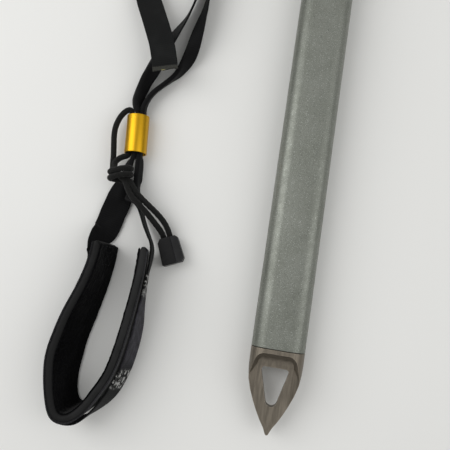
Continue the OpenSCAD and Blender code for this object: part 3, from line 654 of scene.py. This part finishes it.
def stitches(name, lines, material, length=2.1, gap=0.75, r=0.24):
    """Short raised thread stitches along straight lines of (start, end, outward direction) in mm."""
    verts, faces = [], []
    for a, b, out in lines:
        a, b, out = np.array(a, float), np.array(b, float), np.array(out, float)
        run = np.linalg.norm(b - a)
        n = max(1, int(run / (length + gap)))
        d = (b - a) / run
        side = np.cross(out, d)
        for k in range(n):
            c = a + d * (run * (k + 0.5) / n)
            ring = []
            for x in np.linspace(-1, 1, 9):
                rise = r * 0.6 * (1 - x * x)
                w = r * math.sqrt(max(0.06, 1 - x ** 4))
                for q in range(8):
                    th = q * math.pi / 4
                    ring.append(c + d * x * length / 2 + out * (rise + w * math.sin(th)) + side * w * math.cos(th))
            faces += ring_faces(9, 8, True, len(verts))
            verts += ring
    return new_object(name, row(np.array(verts)), faces, material, np.zeros((len(verts), 2)))


# ---------- materials in use ----------

def cut_end(m, x, y, color):
    """Heat-cut end: a lighter fused strip with a yellowish middle."""
    length = tail_length
    band = m.span(m.math("ADD", y, m.math("MULTIPLY", m.noise(m.where("UV", (1.3, 0.4, 1)), 1, 2), 1.2)),
                  length - 1.9, length - 1.5)
    color = m.mix(band, color, m.mix(m.noise(m.where("UV", (1.6, 1.2, 1)), 1, 3), (0.012, 0.012, 0.011), (0.06, 0.06, 0.052)))
    spot = m.math("MULTIPLY", m.span(m.math("ABSOLUTE", m.math("ADD", x, 1.2)), 1.6, 0.4), m.span(y, length - 0.5, length - 0.1))
    return m.mix(spot, color, (0.30, 0.28, 0.13))


def scuffed(m, x, y, color):
    """Pale worn patches on the outer band, where it has rubbed."""
    one, two = (
        m.math("MULTIPLY", m.span(y, low, low + 3), m.span(y, high, high - 3))
        for low, high in (SCUFF_ONE, SCUFF_TWO)
    )
    where = m.math("ADD", one, two, clamp=True)
    blots = m.span(m.noise(m.where("UV", (0.55, 0.4, 1)), 1, 4, 0.65), 0.5, 0.58)
    faded = m.math("MULTIPLY", m.span(y, SCUFF_TWO[1] - 4, SCUFF_TWO[1] + 8), m.span(y, SCUFF_ONE[0] + 6, SCUFF_ONE[0] - 6))
    worn = m.span(m.noise(m.where("UV", (0.5, 0.22, 1)), 1, 4, 0.6), 0.38, 0.62)
    color = m.mix(m.math("MULTIPLY", faded, m.math("MULTIPLY_ADD", worn, 0.6, 0.4)), color, (0.048, 0.046, 0.056))
    return m.mix(m.math("MULTIPLY", where, blots), color, (0.42, 0.42, 0.41))


tail_length = even(TAIL, 0.31)[2][-1]
SCUFF_ONE = (237, 253)
SCUFF_TWO = (184, 198)
BLACK = ((0.002, 0.002, 0.0022), (0.0065, 0.0065, 0.007))
COAT = painted_metal()
HEAD_STEEL = steel("head_steel", (0.20, 0.20, 0.205), (0.10, 0.10, 0.105), 0.46, (120, 900, 900))
ADZE_STEEL = steel("adze_steel", (0.21, 0.21, 0.215), (0.11, 0.11, 0.112), 0.46, (120, 120, 120))
RIVET_STEEL = steel("rivet_steel", (0.46, 0.46, 0.47), (0.30, 0.30, 0.31), 0.34, (400, 400, 400))
SPIKE_STEEL = steel("spike_steel", (0.235, 0.205, 0.165), (0.155, 0.135, 0.108), 0.45, (800, 70, 800), 0.8)
GOLD = gold()
WEBBING = woven("black_webbing", *BLACK)
TAIL_WEBBING = woven("tail_webbing", (0.004, 0.0043, 0.0043), (0.0095, 0.01, 0.01), 0.05, end=cut_end)
OUTER_WEBBING = woven("outer_webbing", *BLACK, wear=scuffed)
SHELL_CLOTH = woven("shell_cloth", (0.007, 0.007, 0.008), (0.022, 0.022, 0.025), 0.1)
BRAID = braid_material()
PLASTIC = plastic("black_plastic", (0.002, 0.002, 0.0022))
LID_PLASTIC = plastic("lid_plastic", (0.009, 0.009, 0.0095), 0.42)
VELOUR = velour()
FOAM = foam()
THREAD = woven("sewing_thread", (0.006, 0.006, 0.0065), (0.016, 0.016, 0.017))


# ---------- hard parts from the CAD ----------

def dress(node, material, bevel, merge=0.0):
    """Gives a CAD node its material and its edges a small radius; merge thins out crowded points."""
    obj = NODES[node]
    for slot in obj.material_slots:
        slot.material = material
    if not obj.material_slots:
        obj.data.materials.append(material)
    if "custom_normal" in obj.data.attributes:
        obj.data.attributes.remove(obj.data.attributes["custom_normal"])
    obj.data.shade_smooth()
    weld = obj.modifiers.new("weld", "WELD")
    weld.merge_threshold = max(merge, 2e-6)
    edges = obj.modifiers.new("edges", "BEVEL")
    edges.width = bevel
    edges.segments = 2
    edges.limit_method = "ANGLE"
    edges.angle_limit = math.radians(32)
    edges.harden_normals = True
    if merge:
        obj.modifiers.new("clean", "WELD").merge_threshold = 3e-6


dress("shaft_tube", COAT, 0.0003)
dress("head_plate", HEAD_STEEL, 0.0004)
dress("head_plug", PLASTIC, 0.0004)
dress("head_rivets", RIVET_STEEL, 0.0002)
dress("adze", ADZE_STEEL, 0.0004)
dress("adze_rivets", RIVET_STEEL, 0.0002)
dress("spike", SPIKE_STEEL, 0.00045, merge=0.0001)
dress("spike_pin", RIVET_STEEL, 0.0002)
dress("buckle", PLASTIC, 0.0003)
dress("cord_end_body", PLASTIC, 0.0005, merge=0.0001)
dress("cord_end_lid", LID_PLASTIC, 0.0005)


# ---------- soft parts and the slider ----------

def slider():
    """Gold tube turned as one ring profile, its rims rounded over."""
    outer, bore, half, lip = 6.6, 5.8, 11.5, 0.35
    profile = []
    for sign in (-1, 1):
        arc = [(half - lip + lip * math.sin(k * math.pi / 12), outer - lip + lip * math.cos(k * math.pi / 12)) for k in range(7)]
        arc += [(half, bore + 0.2), (half - 0.2, bore)]
        profile += [(sign * y, r) for y, r in (reversed(arc) if sign < 0 else arc)]
    ring = [profile[(k + 9) % len(profile)] for k in range(len(profile))]
    sides = 128
    rings = []
    for k in range(sides + 1):
        th = 2 * math.pi * k / sides
        rings.append([[r * math.cos(th), y, r * math.sin(th)] for y, r in ring])
    c, s = math.cos(SLIDER_TURN), math.sin(SLIDER_TURN)
    rings = np.array(rings[:-1])
    x, y, z = rings[..., 0], rings[..., 1], rings[..., 2]
    rings = np.stack([SLIDER_AT[0] + c * x - s * y, SLIDER_AT[1] + s * x + c * y, SLIDER_AT[2] + z], -1)
    obj = new_object("slider_tube_turned", row(rings.reshape(-1, 3)), closed_faces(*rings.shape[:2]), GOLD)
    obj.data.set_sharp_from_angle(angle=math.radians(60))
    return obj


def rides(obj, body, slot, *cad):
    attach(obj, body)
    if cad:
        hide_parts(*cad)


def bends(obj, a, b, start, end, slot, *cad):
    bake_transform(obj)
    if cad:
        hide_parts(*cad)


rides(slider(), "slider", "gold_tube", "slider_tube")

# webbing above the slider: the left leg from the hitch to the buckle, then on to the slider
HITCH = (SWING_AT[0], SWING_AT[1] - 9, SWING_AT[2])


def buckle_wrap(name, bar_y, flap, upward):
    """Webbing turned once round a bar of the buckle, with its short flat return on top."""
    arc = [(-1 if upward else 1, k * math.pi / 10) for k in range(11)]
    outline = [(bar_y + side * 2.5 * math.sin(a), -2.5 * math.cos(a)) for side, a in arc]
    outline += [(bar_y + f, 2.5) for f in flap]
    q = even([[0, y, z] for y, z in outline], 0.31)[0]
    y, z = q[:, 1], q[:, 2]
    n = unit(np.stack([-np.gradient(z), np.gradient(y)], 1))
    a = np.linspace(-STRAP_W / 2, STRAP_W / 2, 30)
    s = np.arange(len(q)) * 0.31
    sides = []
    for sign in (1, -1):
        h = sign * STRAP_T / 2 + rib_relief(a[None, :], s[:, None], 0.045, 1.25)
        sides.append(np.stack([np.broadcast_to(a, h.shape), y[:, None] + n[:, :1] * h, z[:, None] + n[:, 1:] * h], -1))
    rings = np.concatenate([sides[0], sides[1][:, ::-1]], 1)
    c, d = math.cos(BUCKLE_TURN), math.sin(BUCKLE_TURN)
    x, y, z = rings[..., 0], rings[..., 1], rings[..., 2]
    rings = np.stack([BUCKLE_AT[0] + c * x - d * y, BUCKLE_AT[1] + d * x + c * y, BUCKLE_AT[2] + z], -1)
    across = np.concatenate([a, a[::-1]])
    uv = np.stack(np.broadcast_arrays(across[None, :], s[:, None]), -1)
    return rings_object(name, rings, uv, WEBBING)


bends(webbing("strap_left_upper_woven", UPPER, WEBBING), "axe", "leash",
      (HITCH[0], HITCH[1] + 6, HITCH[2]), (-32, 478, 10), "webbing", "strap_left_upper")
rides(buckle_wrap("strap_buckle_top_turn", 7.5, (4, 10, 15), False), "leash", "webbing")
rides(buckle_wrap("strap_buckle_middle_turn", 0.0, (-3, -7.2), True), "leash", "webbing")
bends(webbing("strap_left_lower_woven", LOWER, WEBBING), "leash", "slider",
      (-80, 205, 8), (-101.8, 125.5, 8), "webbing", "strap_left_lower")
split_at = 7
right_high = webbing("strap_right_upper_woven", RIGHT[:split_at + 1], WEBBING)
bends(right_high, "axe", "leash", (HITCH[0], HITCH[1] + 6, HITCH[2]), (-30, 478, 12), "webbing")
bends(webbing("strap_right_lower_woven", RIGHT[split_at:], WEBBING), "leash", "slider",
      (-74, 205, 8), (-98.8, 125.5, 8), "webbing", "strap_right")

BUNDLE_LEFT = [
    [-0.4, 13.5, 3.05, 0, 1], [-0.4, 0, 3.05, 0, 1], [-0.4, -12, 3.05, 0, 1], [-0.5, -13.6, 3.05, -7, 1],
    [-0.85, -16, 3, -23, 1], [-1.35, -20, 2.9, -36, 1], [-2.1, -25.2, 2.75, -38, 1],
]
BUNDLE_RIGHT = [
    [2.5, 13.5, 3.05, 0, 1], [2.5, 0, 3.05, 0, 1], [2.5, -12, 3.05, 0, 1], [2.4, -13.6, 3.05, 6, 1],
    [2.2, -16, 3.05, 11, 1], [2, -20, 3.05, 15, 1], [1.8, -25.2, 2.95, 16, 1],
]
bundle = join("strap_bundle_woven", [
    webbing(f"strand_{i}", turned(path, SLIDER_AT, SLIDER_TURN), WEBBING)
    for i, path in enumerate((BUNDLE_LEFT, BUNDLE_RIGHT))
])
rides(bundle, "leash", "webbing", "strap_bundle")
bends(webbing("strap_tail_woven", TAIL, TAIL_WEBBING, rib=0.06, fray=2.0), "leash", "tail",
      (-90.6, 295, 4), (-94.5, 281.5, 6), "tail_webbing", "strap_tail")

# hitch
def lie(p):
    """Points in the axe's own level frame, in millimetres, to leash points."""
    tilt = np.array(Matrix.Rotation(-LIE_ROLL, 3, "Y")).T @ np.array(Matrix.Rotation(LIE_PITCH, 3, "X")).T
    return p @ tilt - np.array([0, -SHAFT_LOW, -DROP])


def hitch_loop():
    """Two strands from the swing point through the slot in the head plate."""
    bow = [(-44.4, 0.85), (-36, 0.85), (-27, 0.9), (-22.5, 2.6), (-18.5, 4.1), (-12, 4.15), (-9.7, 4.15)]
    arc = [(-9.7 + 4.15 * math.sin(k * math.pi / 8), 4.15 * math.cos(k * math.pi / 8)) for k in range(1, 8)]
    path = bow + arc + [(y, -z) for y, z in reversed(bow)]
    q = even([[0, y, z] for y, z in path], 0.31)[0]
    y, z = q[:, 1], q[:, 2]
    n = unit(np.stack([-np.gradient(z), np.gradient(y)], 1))
    a = np.linspace(-5.5, 5.5, 26)
    s = np.arange(len(q)) * 0.31
    sides = []
    for sign in (1, -1):
        h = sign * STRAP_T / 2 + rib_relief(a[None, :], s[:, None], 0.045, 1.25)
        sides.append(np.stack([np.broadcast_to(a - 27, h.shape), y[:, None] + n[:, :1] * h, z[:, None] + n[:, 1:] * h], -1))
    rings = np.concatenate([sides[0], sides[1][:, ::-1]], 1)
    across = np.concatenate([a, a[::-1]])
    uv = np.stack(np.broadcast_arrays(across[None, :], s[:, None]), -1)
    return rings_object("hitch_loop_woven", lie(rings), uv, WEBBING)


def hitch_band():
    """Narrow webbing sewn into a ring round both strands, just below the head plate."""
    corner = 1.2 + STRAP_T / 2
    reach = np.array([6.2, 5.2]) + STRAP_T / 2 - corner
    turn = np.linspace(0, 2 * math.pi, 64, endpoint=False) + math.pi / 64
    round_part = np.stack([np.cos(turn), np.sin(turn)], 1)
    path = np.sign(round_part) * reach + corner * round_part
    path = np.concatenate([path, path[:1]])
    length = np.concatenate([[0], np.cumsum(np.linalg.norm(np.diff(path, axis=0), axis=1))])
    s = np.linspace(0, length[-1], int(length[-1] / 0.31), endpoint=False)
    q = np.stack([np.interp(s, length, path[:, 0]), np.interp(s, length, path[:, 1])], 1)
    along = np.roll(q, -1, 0) - np.roll(q, 1, 0)
    n = unit(np.stack([along[:, 1], -along[:, 0]], 1))
    a = np.linspace(-2.5, 2.5, 16)
    sides = []
    for sign in (1, -1):
        h = sign * STRAP_T / 2 + rib_relief(a[None, :], s[:, None], 0.045, length[-1] / 38)
        x, z = q[:, :1] + n[:, :1] * h - 27, q[:, 1:] + n[:, 1:] * h
        sides.append(np.stack([x, np.broadcast_to(a - 17, h.shape), z], -1))
    rings = lie(np.concatenate([sides[0], sides[1][:, ::-1]], 1))
    uv = np.stack(np.broadcast_arrays(np.concatenate([a, a[::-1]])[None, :], s[:, None]), -1)
    return new_object("hitch_band_woven", row(rings.reshape(-1, 3)), closed_faces(*rings.shape[:2]), WEBBING, uv.reshape(-1, 2))


bends(hitch_loop(), "axe", "leash", (-28, 507, 14.7), (-29.5, 493, 14.7), "webbing", "hitch_loop")
rides(hitch_band(), "axe", "webbing", "hitch_band")

# cords
rides(braided("pull_cord_loop_braided", CORD_LOOP, BRAID), "slider", "cord", "pull_cord_loop")


def knot():
    """Two turns round the cord's own strands, tilted as they lie, and the strands inside them."""
    c, s = math.cos(math.radians(8)), math.sin(math.radians(8))
    wraps = []
    for a in range(-40, -40 + 684 + 1, 20):
        r = math.radians(a)
        x, y, z = 6.1 * math.cos(r), -3.6 * (a - 300) / 360 + 0.3 * math.sin(2 * r), 3.6 * math.sin(r)
        x, z = x * c - z * s, x * s + z * c
        wraps.append([-103.1 + x * c - y * s, 84.1 + x * s + y * c, 15.4 + z])
    inner = [
        [CORD_LOOP[0], [-107, 85.4, 12.8], [-104, 83, 14.8], [-101, 81.6, 14.8], OUTER_TAIL[0]],
        [CORD_LOOP[-1], [-106, 85.2, 15.4], [-103, 82.8, 15.6], INNER_TAIL[0]],
    ]
    parts = [braided("wraps", wraps, BRAID, (0, 1, 0))] + [braided(f"inner{i}", p, BRAID) for i, p in enumerate(inner)]
    return join("cord_knot_braided", parts)


rides(knot(), "slider", "cord", "cord_knot")
tails = join("cord_tails_braided", [braided("outer", OUTER_TAIL, BRAID), braided("inner", INNER_TAIL, BRAID)])
rides(tails, "cord", "cord", "cord_tails")

# wrist loop
def lean(s):
    """How far the band's lower edge leans out from the pad, in degrees."""
    return max(0.0, min(13.0, 8 * (s - 9.5), 9 * (15.3 - s)))


def pad_path(s, out):
    """The band's centre and roll at a place along the pad."""
    low, high, o = (v[0] for v in pad_frame(np.array([float(s)])))
    c = low + 0.53 * (high - low) + (out + STRAP_W / 2 * math.sin(math.radians(lean(s)))) * o
    w = low - high
    return [*c, math.degrees(math.atan2(w[2], -(w @ o))) - lean(s), 0]


band_out = -PAD_IN + 0.85 + STRAP_T / 2
wrist_band = WRIST_TOP + [pad_path(s, band_out) for s in range(1, PAD_ENDS)] + WRIST_BACK
bends(webbing("wrist_webbing_woven", wrist_band, OUTER_WEBBING), "leash", "wrist",
      (-96.8, 89, 6), (-98.5, 68, 6), "webbing", "wrist_webbing")

core = pad_layer("wrist_foam_core", FOAM, *rounded_profile(0, 1, LINING_OUT, FOAM_OUT, 1.2), step=0.6, round_end=2.6)
puff(core, 0.0011, 0.0004)
rides(core, "wrist", "pad_foam", "wrist_foam")


def nap(s, v, t, at):
    return 0.09 * grain(t.shape, 3, (1, 1)) + 0.10 * grain(t.shape, 4, (8, 6))


def slack(s, v, t, at):
    return 0.10 * grain(t.shape, 8, (9, 9)) + 0.25 * np.exp(-((s - 13) / 2.5) ** 2) * (1 - v)


lining = pad_layer("wrist_lining_velour", VELOUR, *rounded_profile(0.012, 0.96, PAD_IN, LINING_OUT + 0.35, 0.4, nv=40),
                   step=0.8, a=0.12, b=PAD_ENDS - 0.12, round_end=1.2, push=nap)
rides(lining, "wrist", "pad_lining", "wrist_lining")
shell = pad_layer("wrist_shell_cloth", SHELL_CLOTH, *rounded_profile(0.0, 0.985, FOAM_OUT - 0.1, -PAD_IN, 0.3, nv=30),
                  step=1.0, a=0.12, b=PAD_ENDS - 0.12, round_end=1.2, push=slack)
rides(shell, "wrist", "pad_shell", "wrist_shell")


def box_seam(a, b, v0=0.3, v1=0.75):
    """Four sides and a cross on the lining between places a and b."""
    s = np.linspace(a, b, 2)
    low, high, out = pad_frame(s)
    face = PAD_IN - 0.05
    corner = [[low[i] + v * (high[i] - low[i]) + face * out[i] for v in (v0, v1)] for i in (0, 1)]
    inward = -out[0]
    (p, q), (r, t) = corner
    return [(x, y, inward) for x, y in ((p, q), (q, t), (t, r), (r, p), (p, t), (q, r))]


seams = stitches("wrist_stitching_thread", box_seam(0.25, 0.95) + box_seam(16.05, 16.75), THREAD)
rides(seams, "wrist", "thread", "wrist_stitching")


# ---------- table, light and camera ----------

def table():
    m = Shade("pale_table", Rough=0.5)
    p = m.where()
    m.set("Color", m.mix(m.noise(p, 3.5, 3), (0.76, 0.76, 0.745), (0.80, 0.80, 0.785)))
    m.set("Specular IOR Level", 0.25)
    size, z = 4.0, cad_box[0].z - 0.00005
    top = new_object("table_top", [(-size, -size, z), (size, -size, z), (size, size, z), (-size, size, z)],
                     [[0, 1, 2, 3]], m.material)


def area(name, at, look, size, power, color=(1, 1, 1)):
    light = bpy.data.lights.new(name, "AREA")
    light.shape, light.size, light.size_y, light.energy, light.color = "RECTANGLE", *size, power, color
    obj = bpy.data.objects.new(name, light)
    bpy.context.scene.collection.objects.link(obj)
    obj.location = at
    obj.rotation_euler = (Vector(look) - Vector(at)).to_track_quat("-Z", "Y").to_euler()


def world():
    """Bright sides, a dimmer ceiling over the camera and a dark horizon; plain grey to the camera."""
    w = bpy.data.worlds.new("studio")
    bpy.context.scene.world = w
    w.use_nodes = True
    tree = w.node_tree
    tree.nodes.clear()
    new, link = tree.nodes.new, tree.links.new
    coord, split, ramp = new("ShaderNodeTexCoord"), new("ShaderNodeSeparateXYZ"), new("ShaderNodeValToRGB")
    link(coord.outputs["Generated"], split.inputs[0])
    link(split.outputs[2], ramp.inputs[0])
    stops = ((0.0, 0.10), (0.25, 0.32), (0.55, 1.0), (0.8, 0.85), (0.97, 0.38))
    for k, (at, value) in enumerate(stops):
        e = ramp.color_ramp.elements[k] if k < 2 else ramp.color_ramp.elements.new(at)
        e.position, e.color = at, (value, value, value * 0.985, 1)
    back, lit, plain = new("ShaderNodeMixShader"), new("ShaderNodeBackground"), new("ShaderNodeBackground")
    path, out = new("ShaderNodeLightPath"), new("ShaderNodeOutputWorld")
    link(ramp.outputs[0], lit.inputs[0])
    lit.inputs[1].default_value = 0.8
    plain.inputs[0].default_value = (0.72, 0.72, 0.71, 1)
    link(path.outputs["Is Camera Ray"], back.inputs[0])
    link(lit.outputs[0], back.inputs[1])
    link(plain.outputs[0], back.inputs[2])
    link(back.outputs[0], out.inputs[0])


def camera():
    """Above the leash, leaning a little towards the head, as the object is seen."""
    tilt, toward = math.radians(7.05), math.radians(104.5)
    forward = Vector((math.sin(tilt) * math.cos(toward), math.sin(tilt) * math.sin(toward), -math.cos(tilt)))
    upright = math.radians(98.76)
    right = forward.cross(Vector((math.cos(upright), math.sin(upright), 0))).normalized()
    up = right.cross(forward)
    cam = bpy.data.cameras.new("camera")
    cam.lens, cam.sensor_width, cam.clip_start = 43.44, 36, 0.01
    obj = bpy.data.objects.new("camera", cam)
    bpy.context.scene.collection.objects.link(obj)
    turn = Matrix((right, up, -forward)).transposed()
    obj.matrix_world = Matrix.Translation(Vector(row((-29.7, 27.2, 321.1)))) @ turn.to_4x4()
    bpy.context.scene.camera = obj


table()
area("left_panel", (-0.62, -0.30, 0.62), (-0.12, -0.45, 0), (0.5, 0.9), 3.6)
area("right_panel", (0.52, -0.42, 0.60), (0.0, -0.45, 0), (0.4, 0.9), 1.4)
world()
camera()
bpy.context.scene.view_settings.view_transform = "Standard"
